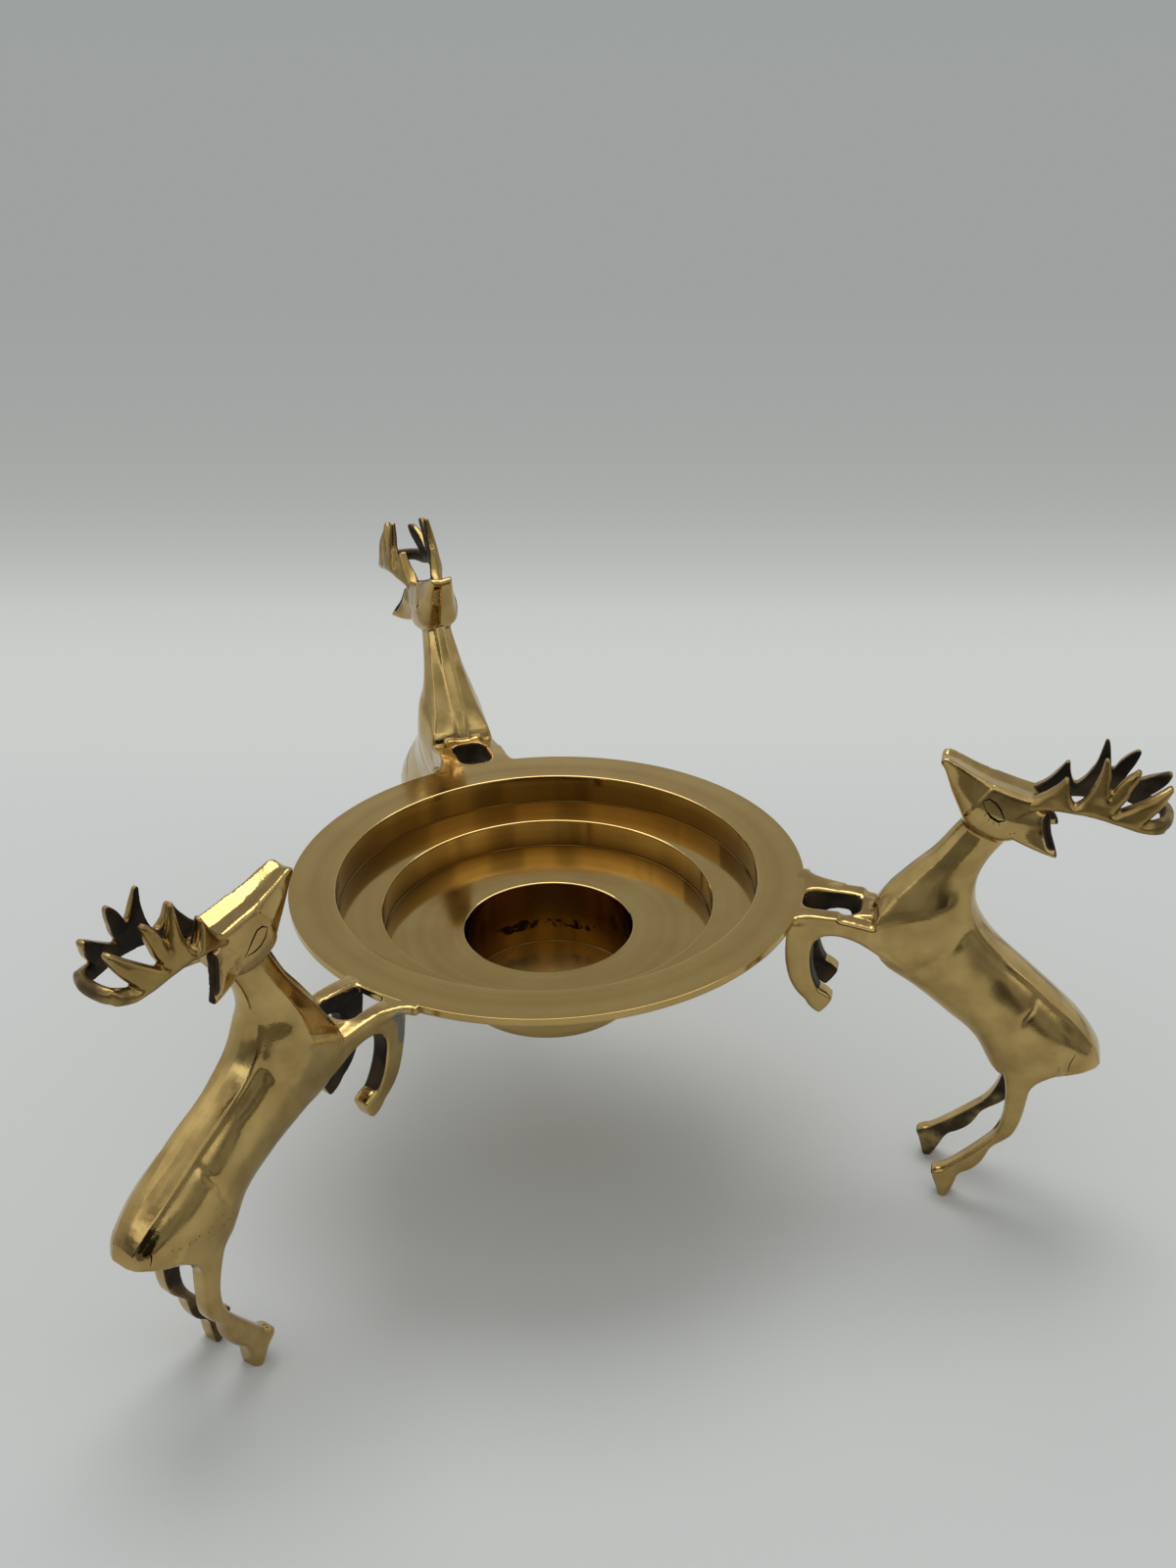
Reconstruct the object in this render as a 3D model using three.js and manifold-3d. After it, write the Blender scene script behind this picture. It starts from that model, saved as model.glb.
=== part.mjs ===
import * as THREE from 'three';
import { mergeVertices } from 'three/addons/utils/BufferGeometryUtils.js';
import Module from 'manifold-3d';

// Deer candle holder: a turned brass dish with a tea light well and two pillar
// candle recesses, carried by three rearing stags whose knees meet its rim.
// Millimetres, +Z up. The origin is the middle of the tea light well's floor.

// The dish
const rimWidth = 11;
const rimThickness = 2;
const largeRecessRadius = 49.5;
const largeRecessDepth = 7.2;
const smallRecessRadius = 39;
const smallRecessDepth = 7;
const wellRadius = 20;
const wellDepth = 16.6;
const dishWall = 2;
const underRound = 4;
const dishSides = 72;

// The stag, from its soles to its tallest tines, and its widths across
const stagHeight = 118.8;
const trunkWidth = 17.6;
const headWidth = 11.8;
const earThickness = 2.4;
const earSplay = 0.1;
const legThickness = 4.2;
const legSpacing = 8.4;
const antlerThickness = 3.4;
const antlerSpread = 16.4;
const tineLean = 0.12;
const loopHeight = 3.4;
const flareWidth = 3;
const flareLength = 4;

// Gap left at each brazed seam
const brazeGap = 0.3;

// Each stag's place round the rim, in degrees, and how far its right hoof steps
// forward and sideways. They were set by hand: the first stag stands astride, and
// the third is pitched towards the dish and leans a little, so the dish is tilted.
const places = [
  { azimuth: -13, pitch: 0, lean: 0, step: 5, stride: 3.5 },
  { azimuth: 107, pitch: 0, lean: 0, step: 0, stride: 0 },
  { azimuth: 231.6, pitch: 8.9, lean: -3, step: 0, stride: 0 },
];

// Side view of the stag: x runs outwards from the rim's edge and z up from the
// soles, at the drawn height. The rim's top is level with the top of the knees.
const drawnHeight = 118.8;
const drawnKnee = 75;
const scale = stagHeight / drawnHeight;
const seatX = 18.4;
const seatZ = 36.4;
const napeX = 51.7;
const soleX = 36.2;

const rimRadius = largeRecessRadius + rimWidth;
const wellFloor = -(largeRecessDepth + smallRecessDepth + wellDepth);

const brass = new THREE.MeshStandardMaterial({ color: 0xb5935a, metalness: 1, roughness: 0.22 });
const castBrass = new THREE.MeshStandardMaterial({ color: 0x8f7444, metalness: 1, roughness: 0.42 });

const wasm = await Module();
wasm.setup();

// Solids for joins and cuts, from closed geometry and back again
function solidOf(geometry) {
  const bare = geometry.clone();
  bare.deleteAttribute('normal');
  bare.deleteAttribute('uv');
  const merged = mergeVertices(bare, 1e-4);
  return new wasm.Manifold(
    new wasm.Mesh({
      numProp: 3,
      vertProperties: Float32Array.from(merged.attributes.position.array),
      triVerts: Uint32Array.from(merged.index.array),
    }),
  );
}

function geometryOf(solid) {
  const mesh = solid.getMesh();
  const geometry = new THREE.BufferGeometry();
  geometry.setAttribute('position', new THREE.BufferAttribute(Float32Array.from(mesh.vertProperties), 3));
  geometry.setIndex(new THREE.BufferAttribute(Uint32Array.from(mesh.triVerts), 1));
  geometry.computeVertexNormals();
  return geometry;
}

function joined(...geometries) {
  return geometryOf(geometries.map(solidOf).reduce((whole, next) => whole.add(next)));
}

function cut(geometry, ...cutters) {
  return geometryOf(cutters.map(solidOf).reduce((whole, next) => whole.subtract(next), solidOf(geometry)));
}

function block([x0, x1], [y0, y1], [z0, z1]) {
  const box = new THREE.BoxGeometry(x1 - x0, y1 - y0, z1 - z0);
  return box.translate((x0 + x1) / 2, (y0 + y1) / 2, (z0 + z1) / 2);
}

// A point of the side view, with the knees' top as the zero height
function drawn(x, z) {
  return new THREE.Vector2(x * scale, (z - drawnKnee) * scale);
}

// A closed skin over rings of equal count, each end closed by a fan
function loft(rings) {
  const count = rings[0].length;
  const middle = (ring) => ring.reduce((sum, p) => sum.add(p), new THREE.Vector3()).divideScalar(count);
  const points = [...rings.flat(), middle(rings[0]), middle(rings.at(-1))];
  const index = [];
  for (let r = 0; r < rings.length - 1; r++) {
    for (let k = 0; k < count; k++) {
      const a = r * count + k;
      const b = r * count + ((k + 1) % count);
      index.push(a, b, a + count, b, b + count, a + count);
    }
  }
  const last = (rings.length - 1) * count;
  for (let k = 0; k < count; k++) {
    const next = (k + 1) % count;
    index.push(next, k, points.length - 2, last + k, last + next, points.length - 1);
  }
  // Rings that run against their path would turn the skin inside out
  const [p, q] = [points[0], points[1]];
  const along = points.at(-1).clone().sub(points.at(-2));
  const outward = p.clone().sub(points.at(-2)).cross(q.clone().sub(points.at(-2))).dot(along) > 0;
  const geometry = new THREE.BufferGeometry().setFromPoints(points);
  geometry.setIndex(outward ? index : index.reverse());
  return geometry;
}

// Values between a few stations, smoothed through them
function between(stations, steps) {
  const curves = [0, 3].map((first) => new THREE.CatmullRomCurve3(
    stations.map((s) => new THREE.Vector3(s[first], s[first + 1], s[first + 2])), false, 'centripetal'));
  const [upper, lower] = curves.map((curve) => {
    const total = (stations.length - 1) * steps;
    return Array.from({ length: total + 1 }, (_, i) => curve.getPoint(i / total));
  });
  return upper.map((top, i) => ({ top: drawn(top.x, top.y), low: drawn(lower[i].x, lower[i].y), widths: [top.z, lower[i].z] }));
}

// A profile of radius and height, given from the top down, turned about the Z axis
function turned(profile) {
  return new THREE.LatheGeometry(profile.toReversed(), dishSides).rotateX(Math.PI / 2);
}

// Dish: the steps inside, the rim, and an underside that follows them with round corners
function dish() {
  const largeFloor = -largeRecessDepth;
  const smallFloor = largeFloor - smallRecessDepth;
  const path = new THREE.Path();
  path.moveTo(0, wellFloor);
  path.lineTo(wellRadius, wellFloor);
  path.lineTo(wellRadius, smallFloor);
  path.lineTo(smallRecessRadius, smallFloor);
  path.lineTo(smallRecessRadius, largeFloor);
  path.lineTo(largeRecessRadius, largeFloor);
  path.lineTo(largeRecessRadius, 0);
  path.lineTo(rimRadius, 0);
  path.lineTo(rimRadius, -rimThickness);
  path.lineTo(largeRecessRadius + dishWall, -rimThickness);
  const steps = [[largeRecessRadius, largeFloor], [smallRecessRadius, smallFloor], [wellRadius, wellFloor]];
  for (const [radius, floor] of steps) {
    const side = radius + dishWall;
    const under = floor - dishWall;
    path.lineTo(side, path.currentPoint.y);
    path.lineTo(side, under + underRound);
    path.quadraticCurveTo(side, under, side - underRound, under);
  }
  path.lineTo(0, wellFloor - dishWall);
  return turned(path.getPoints(4));
}

// What the dish needs clear of the knees: its outside, grown by the seam
function dishClearance() {
  const outer = rimRadius + brazeGap;
  const inner = largeRecessRadius + dishWall + brazeGap;
  const above = 4 * rimThickness;
  const below = wellFloor - dishWall - brazeGap;
  const rimUnder = -rimThickness - brazeGap;
  const profile = [[0, above], [outer, above], [outer, rimUnder], [inner, rimUnder], [inner, below], [0, below]];
  return turned(profile.map(([radius, z]) => new THREE.Vector2(radius, z)));
}

// Trunk and neck: stations from rump to nape of back x, z, half width, then belly x, z
// and how square the section is on the belly's side, where the legs take their seats
const trunkStations = [
  [69.6, 39.8, 0.42, 67.4, 36.0, 4],
  [68.0, 43.8, 0.74, 62.0, 33.6, 5],
  [64.4, 49.4, 0.94, 54.0, 32.8, 6],
  [59.3, 54.9, 1, 46.2, 35.0, 5],
  [52.8, 60.8, 0.95, 40.6, 44.2, 2.8],
  [46.2, 66.6, 0.92, 33.6, 50.0, 2.4],
  [41.6, 71.9, 0.97, 25.8, 56.8, 2.8],
  [39.4, 76.6, 1, 18.4, 63.2, 4.5],
  [38.9, 81.0, 0.86, 15.4, 71.4, 4.5],
  [39.3, 84.6, 0.66, 18.8, 79.4, 2.8],
  [40.6, 88.2, 0.5, 24.8, 85.2, 2.4],
  [42.4, 91.4, 0.42, 29.8, 90.2, 2.2],
  [45.4, 95.6, 0.4, 33.6, 96.4, 2.2],
  [47.4, 99.0, 0.38, 36.5, 101.0, 2.2],
];
const backRoundness = 1.9;
const spineHalf = 0.56;
const spineDrop = 0.07;
const sideAngles = [40, 58, 75, 90, 106, 122, 138, 152, 166];

// A section runs over a flat band along the back with an edge on each side, then round
// the flank to the belly, as shares of the half depth and the half width
function trunkSection(bellyRoundness) {
  const flank = sideAngles.map((degrees) => {
    const angle = THREE.MathUtils.degToRad(degrees);
    const [c, s] = [Math.cos(angle), Math.sin(angle)];
    const power = c > 0 ? backRoundness : bellyRoundness;
    const size = (Math.abs(c) ** power + s ** power) ** (-1 / power);
    return [c * size, s * size];
  });
  const side = [[1 - spineDrop, spineHalf], ...flank];
  return [[1, 0], ...side, [-1, 0], ...side.toReversed().map(([depth, width]) => [depth, -width])];
}

function trunk() {
  const rings = between(trunkStations, 2).map(({ top, low, widths }) => {
    const half = (widths[0] * trunkWidth) / 2;
    const centre = top.clone().add(low).divideScalar(2);
    const reach = top.clone().sub(centre);
    return trunkSection(widths[1]).map(([depth, width]) =>
      new THREE.Vector3(centre.x + reach.x * depth, half * width, centre.y + reach.y * depth));
  });
  return loft(rings);
}

// Head: flat forehead between two ridges, flat muzzle sides, cheeks and a narrow jaw.
// Stations from the muzzle to the nape of ridge x, z, ridge half width, jaw x, z, cheek half width
const headStations = [
  [30.2, 114.9, 0.42, 30.0, 112.8, 0.46],
  [32.4, 113.8, 0.5, 31.0, 109.4, 0.58],
  [36.0, 112.0, 0.55, 33.0, 104.8, 0.68],
  [40.2, 110.0, 0.6, 34.8, 100.2, 0.86],
  [44.8, 108.6, 0.66, 38.2, 96.9, 0.96],
  [48.6, 107.2, 0.7, 43.0, 94.8, 1],
  [napeX, 106.8, 0.73, 48.4, 96.0, 1],
];
const cheekDrop = 0.52;
const jawHalf = 0.55;

function head() {
  const rings = between(headStations, 1).map(({ top, low, widths }) => {
    const ridge = (widths[0] * headWidth) / 2;
    const cheek = (widths[1] * headWidth) / 2;
    const at = (share, y) => {
      const p = top.clone().lerp(low, share);
      return new THREE.Vector3(p.x, y, p.y);
    };
    const half = [[0, ridge], [cheekDrop, cheek], [0.86, cheek * 0.86], [1, cheek * jawHalf]];
    return [...half.map(([d, y]) => at(d, y)), ...half.toReversed().map(([d, y]) => at(d, -y))];
  });
  return loft(rings);
}

// Turns a flat side view into a plate whose middle lies at middleY(x, z)
function plate(outline, thickness, middleY, taper = () => 1) {
  const shape = new THREE.Shape(outline);
  const geometry = new THREE.ExtrudeGeometry(shape, { depth: 1, bevelEnabled: false });
  const position = geometry.attributes.position;
  for (let i = 0; i < position.count; i++) {
    const x = position.getX(i);
    const z = position.getY(i);
    const across = (0.5 - position.getZ(i)) * thickness * taper(x, z);
    position.setXYZ(i, x, middleY(x, z) + across, z);
  }
  return geometry;
}

function mirrored(geometry) {
  const copy = (geometry.index ? geometry.toNonIndexed() : geometry.clone()).scale(1, -1, 1);
  const position = copy.attributes.position;
  const a = new THREE.Vector3();
  const b = new THREE.Vector3();
  for (let i = 0; i < position.count; i += 3) {
    a.fromBufferAttribute(position, i);
    b.fromBufferAttribute(position, i + 1);
    position.setXYZ(i, b.x, b.y, b.z);
    position.setXYZ(i + 1, a.x, a.y, a.z);
  }
  return copy;
}

function outlineOf(build, perCurve) {
  const path = new THREE.Path();
  build(path);
  const points = path.getPoints(perCurve).map((p) => drawn(p.x, p.y));
  return points.filter((p, i) => i === 0 || p.distanceTo(points[i - 1]) > 1e-3);
}

// Ear: a flat lobe swept back below the antler, its tip a little outwards
function ear() {
  const outline = outlineOf((path) => {
    path.moveTo(43.5, 97.2);
    path.quadraticCurveTo(48.6, 95.2, 55.9, 95.9);
    path.quadraticCurveTo(54.9, 98.8, 54.0, 102.2);
    path.lineTo(50.2, 103.2);
    path.lineTo(44.5, 101.5);
    path.closePath();
  }, 4);
  const root = drawn(46, 0).x;
  const middle = (headWidth - earThickness) / 2;
  return plate(outline, earThickness, (x) => middle + Math.max(0, x - root) * earSplay);
}

function body() {
  const lobe = ear();
  const whole = joined(trunk(), head(), lobe, mirrored(lobe));
  const legSide = legSpacing / 2 - brazeGap;
  const wide = trunkWidth;
  const front = [drawn(-10, 0).x, drawn(seatX, 0).x];
  const chest = [drawn(0, 50).y, drawn(0, 78).y];
  const under = outlineOf((path) => {
    path.moveTo(40, 20);
    path.lineTo(40, seatZ);
    path.lineTo(59.4, seatZ);
    path.lineTo(62.6, 38);
    path.lineTo(80, 38.4);
    path.lineTo(80, 20);
    path.closePath();
  }, 1);
  return cut(whole,
    block(front, [legSide, wide], chest),
    block(front, [-wide, -legSide], chest),
    plate(under, 2 * wide, () => 0));
}

// Antler: brow tine and three more, rising from a beam that thins at each fork
function antlerOutline() {
  return outlineOf((path) => {
    path.moveTo(napeX + brazeGap, 103.7);
    path.quadraticCurveTo(60, 107.4, 72, 102.6);
    path.quadraticCurveTo(75, 101.6, 78, 101.8);
    path.lineTo(78.2, 105.2);
    path.lineTo(73.4, 105.0);
    path.quadraticCurveTo(76.8, 107.8, 79.0, 111.3);
    path.lineTo(78.3, 112.2);
    path.quadraticCurveTo(73, 109, 67.0, 107.2);
    path.quadraticCurveTo(70.4, 111.6, 71.9, 115.7);
    path.lineTo(71.2, 116.4);
    path.quadraticCurveTo(68.4, 114.6, 66.2, 111.0);
    path.quadraticCurveTo(65.4, 115, 65.0, drawnHeight - 0.4);
    path.lineTo(64.3, drawnHeight);
    path.quadraticCurveTo(63.4, 110.4, 58.8, 107.4);
    path.quadraticCurveTo(57.4, 108.6, 57.2, 112.6);
    path.lineTo(56.5, 113);
    path.quadraticCurveTo(54.6, 109.6, napeX + brazeGap, 107.2);
    path.closePath();
  }, 4);
}

// Plan of the pair: beams spread behind the head, then close in a loop at the rear
function antlers() {
  const outer = (antlerSpread - antlerThickness) / 2;
  const root = (headWidth * 0.9 - antlerThickness) / 2;
  const rear = outer * 0.66;
  const plan = new THREE.SplineCurve([
    drawn(napeX, 0).setY(root), drawn(58, 0).setY(outer * 0.86), drawn(67, 0).setY(outer),
    drawn(74, 0).setY(outer * 0.93), drawn(78.4, 0).setY(rear),
  ]);
  const planPoints = plan.getPoints(40);
  const planY = (x) => {
    const after = planPoints.findIndex((p) => p.x > x);
    if (after === 0) return root;
    if (after < 0) return rear;
    const [p, q] = [planPoints[after - 1], planPoints[after]];
    return p.y + ((x - p.x) / (q.x - p.x)) * (q.y - p.y);
  };
  const beamTop = drawn(0, 105).y;
  const tineTop = drawn(0, drawnHeight).y;
  const rise = (z) => Math.max(0, z - beamTop);
  const taper = (x, z) => 1 - (0.5 * rise(z)) / (tineTop - beamTop);
  const side = plate(antlerOutline(), antlerThickness, (x, z) => planY(x) - rise(z) * tineLean, taper);

  const start = drawn(76.6, 0).x;
  const end = drawn(80.3, 0).x - antlerThickness / 2;
  const low = drawn(0, 101.7).y + loopHeight / 2;
  const bend = new THREE.CatmullRomCurve3([
    new THREE.Vector3(start, rear * 1.12, low), new THREE.Vector3(start + (end - start) * 0.75, rear * 0.8, low),
    new THREE.Vector3(end, 0, low),
    new THREE.Vector3(start + (end - start) * 0.75, -rear * 0.8, low), new THREE.Vector3(start, -rear * 1.12, low),
  ]);
  const section = new THREE.Shape();
  section.absellipse(0, 0, loopHeight / 2, antlerThickness / 2, 0, 2 * Math.PI);
  const loop = new THREE.ExtrudeGeometry(section, { curveSegments: 2, steps: 12, bevelEnabled: false, extrudePath: bend });
  return joined(side, mirrored(side), loop);
}

function legPlate(outline, side) {
  const middle = (side * (legSpacing + legThickness)) / 2;
  return plate(outline, legThickness, () => middle);
}

// Braze metal that flares from the knee's outer face along the rim's edge
function flare(side) {
  const inner = legSpacing / 2 + legThickness - brazeGap;
  const outer = inner + flareWidth;
  const plan = new THREE.Shape();
  plan.moveTo(-flareLength / 2, side * inner);
  plan.lineTo(flareLength, side * inner);
  plan.quadraticCurveTo(brazeGap, side * inner, brazeGap, side * outer);
  plan.lineTo(-flareLength / 2, side * outer);
  plan.closePath();
  const height = rimThickness - brazeGap;
  const wedge = new THREE.ExtrudeGeometry(plan, { depth: height, curveSegments: 4, bevelEnabled: false });
  return wedge.translate(0, 0, -rimThickness);
}

// Foreleg: level from the chest to the knee, then curled down and back to the hoof
function foreleg(side) {
  const outline = outlineOf((path) => {
    path.moveTo(seatX - brazeGap, 72.4);
    path.quadraticCurveTo(10, 74.8, 2, drawnKnee);
    path.lineTo(-1.6, drawnKnee);
    path.lineTo(-2.9, 71);
    path.bezierCurveTo(-3.4, 62, -2.4, 56, 2.3, 51.9);
    path.lineTo(5.6, 48.8);
    path.lineTo(8.2, 53.1);
    path.lineTo(5.0, 55.3);
    path.bezierCurveTo(2.7, 58.6, 2.6, 65.6, 4.0, 68.0);
    path.bezierCurveTo(6.2, 71.2, 13, 70.2, seatX - brazeGap, 66.4);
    path.closePath();
  }, 6);
  return joined(legPlate(outline, side), flare(side));
}

// Hind leg: from the haunch down to the hock and forward to the hoof's ground edge.
// The hoof may step forward and sideways from where the haunch would put it.
function hindLeg(side, step, stride) {
  const outline = outlineOf((path) => {
    path.moveTo(46.6, seatZ - brazeGap);
    path.bezierCurveTo(49.6, 32, 49.4, 23, 46.6, 18.6);
    path.bezierCurveTo(43.4, 14.4, 38, 9, 35.3, 7.0);
    path.lineTo(32.8, 6.2);
    path.lineTo(soleX - 0.6, -1.2);
    path.lineTo(soleX + 1.4, -1.2);
    path.lineTo(38.6, 5.0);
    path.bezierCurveTo(44, 7.2, 45, 11.4, 46.2, 14.8);
    path.bezierCurveTo(47.4, 17.4, 50.4, 18.2, 51.6, 20.4);
    path.bezierCurveTo(53.2, 24, 53.8, 29, 54.2, 32);
    path.bezierCurveTo(54.8, 34.6, 56.4, 35.8, 58.6, seatZ - brazeGap);
    path.closePath();
  }, 5);
  const leg = legPlate(outline, side);
  const position = leg.attributes.position;
  const top = drawn(0, seatZ).y;
  const sole = drawn(0, 0).y;
  for (let i = 0; i < position.count; i++) {
    const down = (top - position.getZ(i)) / (top - sole);
    position.setX(i, position.getX(i) - down * step);
    position.setY(i, position.getY(i) + down * side * stride);
  }
  return leg;
}

// The stags' places in the holder, and the plane on which their soles stand
function stagGroup({ azimuth, pitch, lean, step, stride }) {
  const radians = THREE.MathUtils.degToRad;
  const spoke = new THREE.Group();
  spoke.rotation.z = radians(azimuth);
  const stag = new THREE.Group();
  stag.position.x = rimRadius;
  stag.rotation.set(radians(lean), -radians(pitch), 0);
  spoke.add(stag);
  spoke.updateMatrixWorld(true);
  return { spoke, stag, step, stride };
}

const stagGroups = places.map(stagGroup);
const solePoints = stagGroups.map(({ stag }) => {
  const sole = drawn(soleX, 0);
  return new THREE.Vector3(sole.x, 0, sole.y).applyMatrix4(stag.matrixWorld);
});
const ground = new THREE.Plane().setFromCoplanarPoints(...solePoints);
if (ground.normal.z < 0) ground.negate();
const level = new THREE.Quaternion().setFromUnitVectors(ground.normal, new THREE.Vector3(0, 0, 1));

function groundBlock() {
  const size = 4 * (rimRadius + stagHeight);
  const slab = new THREE.BoxGeometry(size, size, stagHeight).translate(0, 0, -stagHeight / 2 - ground.constant);
  return slab.applyQuaternion(level.clone().invert());
}

// A stag's piece cut by something of the holder, such as the rim or the ground
function fitted(piece, stag, cutter) {
  const inPlace = piece.clone().applyMatrix4(stag.matrixWorld);
  return cut(inPlace, cutter).applyMatrix4(stag.matrixWorld.clone().invert());
}

function named(name, geometry, material) {
  const mesh = new THREE.Mesh(geometry, material);
  mesh.name = name;
  return mesh;
}

const holder = new THREE.Group();
holder.add(named('dish', dish(), brass));
const rim = dishClearance();
const table = groundBlock();
const bodyShape = body();
const antlerShape = antlers();
stagGroups.forEach(({ spoke, stag, step, stride }, i) => {
  const name = `stag_${i + 1}`;
  stag.add(named(`${name}_body`, bodyShape, brass));
  stag.add(named(`${name}_antlers`, antlerShape, castBrass));
  const hindLegs = { left: hindLeg(-1, 0, 0), right: hindLeg(1, step, stride) };
  for (const [hand, side] of [['left', -1], ['right', 1]]) {
    stag.add(named(`${name}_foreleg_${hand}`, fitted(foreleg(side), stag, rim), brass));
    stag.add(named(`${name}_hind_leg_${hand}`, fitted(hindLegs[hand], stag, table), brass));
  }
  holder.add(spoke);
});

holder.quaternion.copy(level);
holder.position.copy(new THREE.Vector3(0, 0, -wellFloor).applyQuaternion(level));

const deerCandleHolder = new THREE.Group();
deerCandleHolder.add(holder);
export default deerCandleHolder;
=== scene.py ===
import bpy
import bmesh
import math
from mathutils import Matrix, Vector, noise
from mathutils.bvhtree import BVHTree


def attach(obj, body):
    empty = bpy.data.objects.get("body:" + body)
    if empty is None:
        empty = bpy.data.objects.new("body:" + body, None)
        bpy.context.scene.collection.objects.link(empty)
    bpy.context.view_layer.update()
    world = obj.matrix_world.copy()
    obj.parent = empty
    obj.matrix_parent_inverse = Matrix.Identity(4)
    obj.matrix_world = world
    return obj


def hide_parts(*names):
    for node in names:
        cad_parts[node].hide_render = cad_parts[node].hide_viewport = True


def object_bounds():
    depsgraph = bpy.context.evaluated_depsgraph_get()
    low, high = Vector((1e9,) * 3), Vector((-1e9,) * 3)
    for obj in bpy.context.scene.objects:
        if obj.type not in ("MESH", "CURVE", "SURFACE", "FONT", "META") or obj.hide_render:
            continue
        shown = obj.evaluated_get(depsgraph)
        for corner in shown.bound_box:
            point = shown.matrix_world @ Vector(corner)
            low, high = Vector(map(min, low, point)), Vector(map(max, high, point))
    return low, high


# Deer candle holder: a turned brass dish carried on the knees of three cast stags.
# Each shape is worked out in millimetres in its own place and then set down in metres.

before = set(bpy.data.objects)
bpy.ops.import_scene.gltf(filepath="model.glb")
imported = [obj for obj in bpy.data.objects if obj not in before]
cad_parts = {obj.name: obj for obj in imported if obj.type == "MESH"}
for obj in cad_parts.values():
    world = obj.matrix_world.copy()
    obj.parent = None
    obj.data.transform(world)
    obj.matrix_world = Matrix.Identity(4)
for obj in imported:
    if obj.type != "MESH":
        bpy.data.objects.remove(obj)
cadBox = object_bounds()

holder = {
    "rimRadius": 60.5,
    "rimHeight": 30.8,       # the rim's top above the tea light well's floor
    "kneeHeight": 75.0,      # the rim's top above the soles, in a stag's side view
    # Degrees round the rim, pitch to the dish, lean, right hoof's step, roundness of the slot's end
    # between the knees, width and length of the braze faired out beside each knee, how much deeper
    # the right antler's beam is, and how full the right hind shin was left in filing
    "stags": [
        {"azimuth": -13.0, "pitch": 0.0, "lean": 0.0, "step": 5.0, "stride": 3.5, "slotRound": 2.6,
         "leftFlare": (1.5, 4.0), "rightFlare": (5.0, 14.0), "deepAntler": 2.2, "fullShin": 0.3},
        {"azimuth": 107.0, "pitch": 0.0, "lean": 0.0, "step": 0.0, "stride": 0.0, "slotRound": 3.4,
         "leftFlare": (1.0, 4.0), "rightFlare": (4.0, 12.0), "deepAntler": 0.0, "fullShin": 0.0},
        {"azimuth": 231.6, "pitch": 8.9, "lean": -3.0, "step": 0.0, "stride": 0.0, "slotRound": 1.2,
         "leftFlare": (0.5, 1.5), "rightFlare": (4.3, 6.0), "deepAntler": 0.0, "fullShin": 1.0},
    ],
}
knee = holder["kneeHeight"]
dishAxis = Vector((-0.028788, -0.030871, 0.999109))     # square to the rim, a little out of level
ground = min(corner[2] for corner in cadBox)
tilt = Vector((0, 0, 1)).rotation_difference(dishAxis).to_matrix().to_4x4()
dishPlace = Matrix.Scale(0.001, 4) @ tilt @ Matrix.Translation((0, 0, holder["rimHeight"]))


def stagTilt(stag):
    lean, pitch = math.radians(stag["lean"]), math.radians(stag["pitch"])
    return Matrix.Rotation(lean, 4, "X") @ Matrix.Rotation(-pitch, 4, "Y")


def stagPlace(stag):
    turn = Matrix.Rotation(math.radians(stag["azimuth"]), 4, "Z")
    return dishPlace @ turn @ Matrix.Translation((holder["rimRadius"], 0, 0)) @ stagTilt(stag)


# Small helpers

def linear(hexColour):
    parts = [int(hexColour[i:i + 2], 16) / 255 for i in (1, 3, 5)]
    return tuple(c / 12.92 if c <= 0.04045 else ((c + 0.055) / 1.055) ** 2.4 for c in parts) + (1.0,)


# Inputs are a list in the node's own order, or a dictionary by name. Each is a value to set, a socket
# to link, or a node to link by its first output in use
def setInputs(tree, node, inputs):
    for key, value in inputs.items() if isinstance(inputs, dict) else enumerate(inputs):
        if isinstance(value, bpy.types.Node):
            value = next(output for output in value.outputs if output.enabled)
        if isinstance(value, bpy.types.NodeSocket):
            tree.links.new(value, node.inputs[key])
        else:
            node.inputs[key].default_value = value


def addNode(tree, kind, inputs=(), **settings):
    node = tree.nodes.new("ShaderNode" + kind)
    for name, value in settings.items():
        setattr(node, name, value)
    setInputs(tree, node, inputs)
    return node


eased = {"interpolation_type": "SMOOTHSTEP"}     # for a Map Range that starts and ends gently


def newMaterial(name):
    material = bpy.data.materials.new(name)
    material.use_nodes = True
    return material, material.node_tree, material.node_tree.nodes["Principled BSDF"]


def fillRamp(ramp, stops):
    while len(ramp.elements) < len(stops):
        ramp.elements.new(0.5)
    for element, (position, colour) in zip(ramp.elements, stops):
        element.position = position
        element.color = colour


def ease(value, low, high):
    t = min(1, max(0, (value - low) / (high - low)))
    return t * t * (3 - 2 * t)


def linked(name, data):
    obj = bpy.data.objects.new(name, data)
    bpy.context.collection.objects.link(obj)
    return obj


def meshObject(name, bm):
    mesh = bpy.data.meshes.new(name)
    bm.to_mesh(mesh)
    bm.free()
    return linked(name, mesh)


# The shape that an object's modifiers make of it. The object goes
def applied(obj):
    mesh = bpy.data.meshes.new_from_object(obj.evaluated_get(bpy.context.evaluated_depsgraph_get()))
    bm = bmesh.new()
    bm.from_mesh(mesh)
    bpy.data.objects.remove(obj)
    bpy.data.meshes.remove(mesh)
    return bm


def fused(bm, voxel):
    obj = meshObject("loose", bm)
    remesh = obj.modifiers.new("fuse", "REMESH")
    remesh.mode = "VOXEL"
    remesh.voxel_size = voxel
    return applied(obj)


def cutOff(bm, at, beyond):
    bmesh.ops.bisect_plane(bm, geom=bm.verts[:] + bm.edges[:] + bm.faces[:], plane_co=at, plane_no=beyond,
                           clear_outer=True)
    bmesh.ops.holes_fill(bm, edges=[e for e in bm.edges if e.is_boundary], sides=0)


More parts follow.
